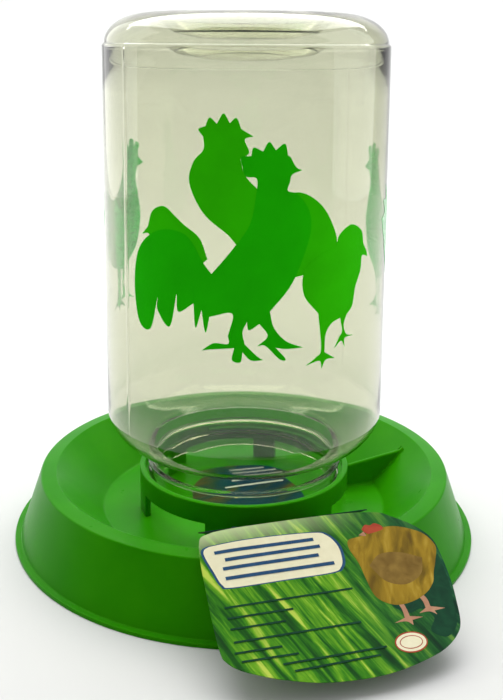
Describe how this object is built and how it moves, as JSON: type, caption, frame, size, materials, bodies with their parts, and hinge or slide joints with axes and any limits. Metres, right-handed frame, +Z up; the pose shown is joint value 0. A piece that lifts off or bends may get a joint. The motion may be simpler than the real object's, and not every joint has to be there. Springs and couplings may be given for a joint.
{
  "type": "poultry waterer fount",
  "caption": "Upturned clear wide-mouth jar screwed into the windowed collar of a round reversible green feeding and watering tray, with a folded card.",
  "frame": {"origin": "centre of the tray's underside, on the surface that it stands on", "axes": "+Z up along the jar's axis, -Y to the front of the display side, +X to the right of a viewer in front"},
  "size_m": [0.2558, 0.294, 0.2845],
  "materials": {
    "tray_green": "glossy moulded",
    "jar_clear": "clear blow-moulded",
    "card_front": "coated and printed",
    "card_back": "coated and printed",
    "ink_green": "screen-printed ink"
  },
  "bodies": {
    "tray": {"trough_floor": "tray_green", "trough_wall": "tray_green", "top_rim": "tray_green", "outer_skirt": "tray_green", "foot_flange": "tray_green", "feed_collar": "tray_green", "collar_posts": "tray_green", "collar_thread": "tray_green", "divider_fin": "tray_green", "water_collar": "tray_green", "water_collar_thread": "tray_green", "card_head": "card_back", "card_leg": "card_back"},
    "jar_mouth": {"jar_mouth_lip": "jar_clear"},
    "jar": {"jar_wall": "jar_clear", "jar_heel_inner": "jar_clear", "jar_heel_outer": "jar_clear", "jar_heel_seam": "jar_clear", "jar_recess": "jar_clear", "jar_shoulder_inner": "jar_clear", "jar_shoulder_outer": "jar_clear", "jar_neck": "jar_clear", "jar_neck_bead": "jar_clear", "jar_thread": "jar_clear"},
    "card_flap": {"card_flap": "card_front"}
  },
  "joints": [
    {"name": "jar_rise", "type": "slide", "parent": "tray", "child": "jar_mouth", "axis": [0, 0, 1], "range_m": [0, 0.02541]},
    {"name": "jar_unscrew", "type": "hinge", "parent": "jar_mouth", "child": "jar", "pos_m": [0, 0, 0.0355], "axis": [0, 0, 1], "range_deg": [0, 2160]},
    {"name": "card_flap_fold", "type": "hinge", "parent": "tray", "child": "card_flap", "pos_m": [0.02778, -0.09085, 0.0455], "axis": [-0.9563, -0.2924, 0], "range_deg": [0, 110]}
  ],
  "couplings": [
    {"joint": "jar_rise", "follows": "jar_unscrew", "m_per_rad": 0.0006737}
  ]
}
